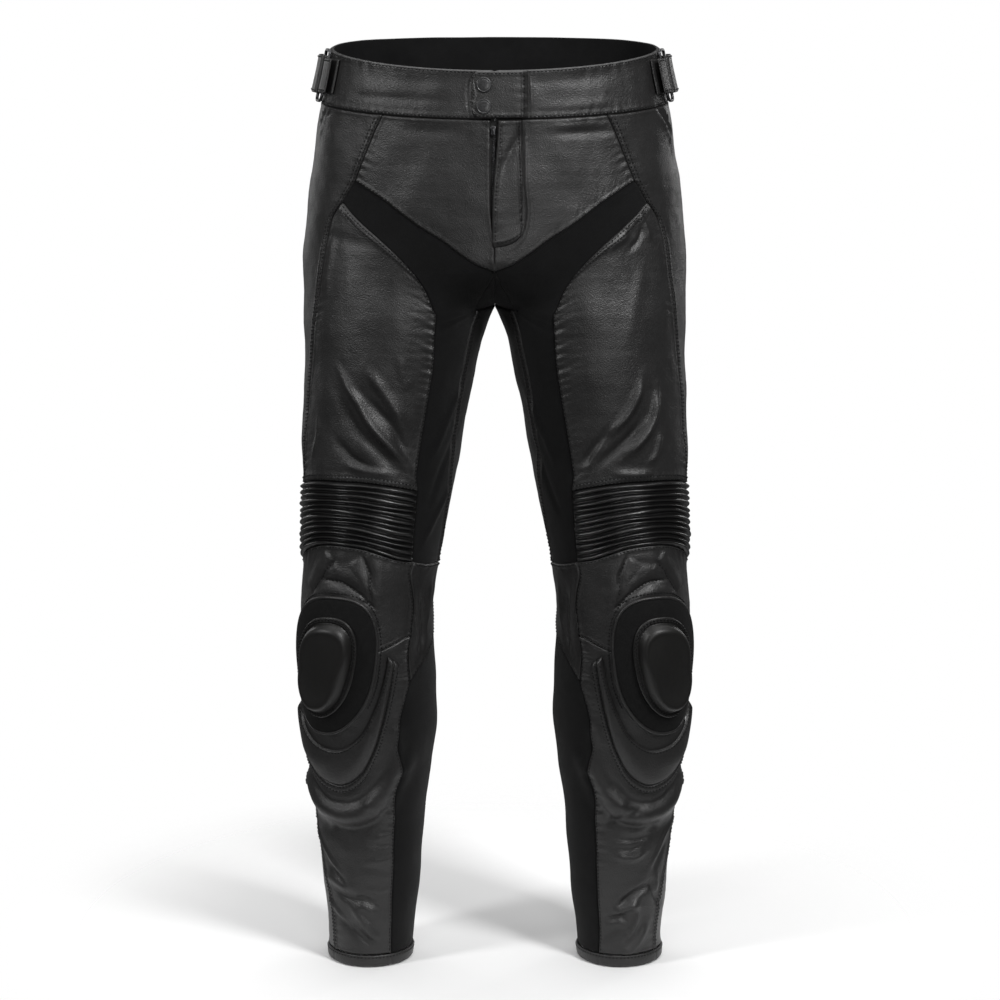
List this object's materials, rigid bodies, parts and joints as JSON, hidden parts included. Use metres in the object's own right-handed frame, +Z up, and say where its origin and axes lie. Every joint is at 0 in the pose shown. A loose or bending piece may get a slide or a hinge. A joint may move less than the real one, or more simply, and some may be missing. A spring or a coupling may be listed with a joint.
{
  "type": "motorcycle trousers",
  "caption": "Black leather motorcycle trousers with stretch panels, ribbed thighs, knee armour and shin pads, filled out as if worn.",
  "frame": {"origin": "centre of the waist at half the waistband's height at the sides, where the wearer's waist holds the trousers up", "axes": "+Z up, -Y the front of the trousers, +X the wearer's left"},
  "size_m": [0.437, 0.2589, 1.0221],
  "materials": {
    "leather": "fine grain, semi-gloss",
    "stretch_cloth": "matte fine weave",
    "hook_cloth": "matte pile",
    "moulded_pad": "satin moulded",
    "dark_metal": "black nickel, satin",
    "zip": "woven tape"
  },
  "bodies": {
    "root": {"front_yoke_left": "leather", "front_yoke_right": "leather", "side_panel_left": "leather", "side_panel_right": "leather", "seat_left": "leather", "seat_right": "leather", "thigh_front_left": "leather", "thigh_front_right": "leather", "back_thigh_left": "leather", "back_thigh_right": "leather", "ribbed_panel_left": "leather", "ribbed_panel_right": "leather", "knee_cup_left": "leather", "knee_cup_right": "leather", "inner_knee_left": "leather", "inner_knee_right": "leather", "shin_left": "leather", "shin_right": "leather", "outer_calf_left": "leather", "outer_calf_right": "leather", "hem_band_left": "leather", "hem_band_right": "leather", "shin_pad_left": "leather", "shin_pad_right": "leather", "waistband_front_left": "leather", "waistband_front_right": "leather", "adjuster_tab_left": "leather", "adjuster_tab_right": "leather", "adjuster_strap_left": "leather", "adjuster_strap_right": "leather", "gusset_left": "stretch_cloth", "gusset_right": "stretch_cloth", "stretch_front_left": "stretch_cloth", "stretch_front_right": "stretch_cloth", "inner_calf_left": "stretch_cloth", "inner_calf_right": "stretch_cloth", "hook_patch_left": "hook_cloth", "hook_patch_right": "hook_cloth", "knee_puck_left": "moulded_pad", "knee_puck_right": "moulded_pad", "adjuster_ring_left": "dark_metal", "adjuster_ring_right": "dark_metal", "waistband_back": "leather", "waist_tab": "leather", "fly_placket": "leather", "fly_zip": "zip", "zip_slider": "dark_metal", "snap_upper": "dark_metal", "snap_lower": "dark_metal"}
  },
  "joints": []
}
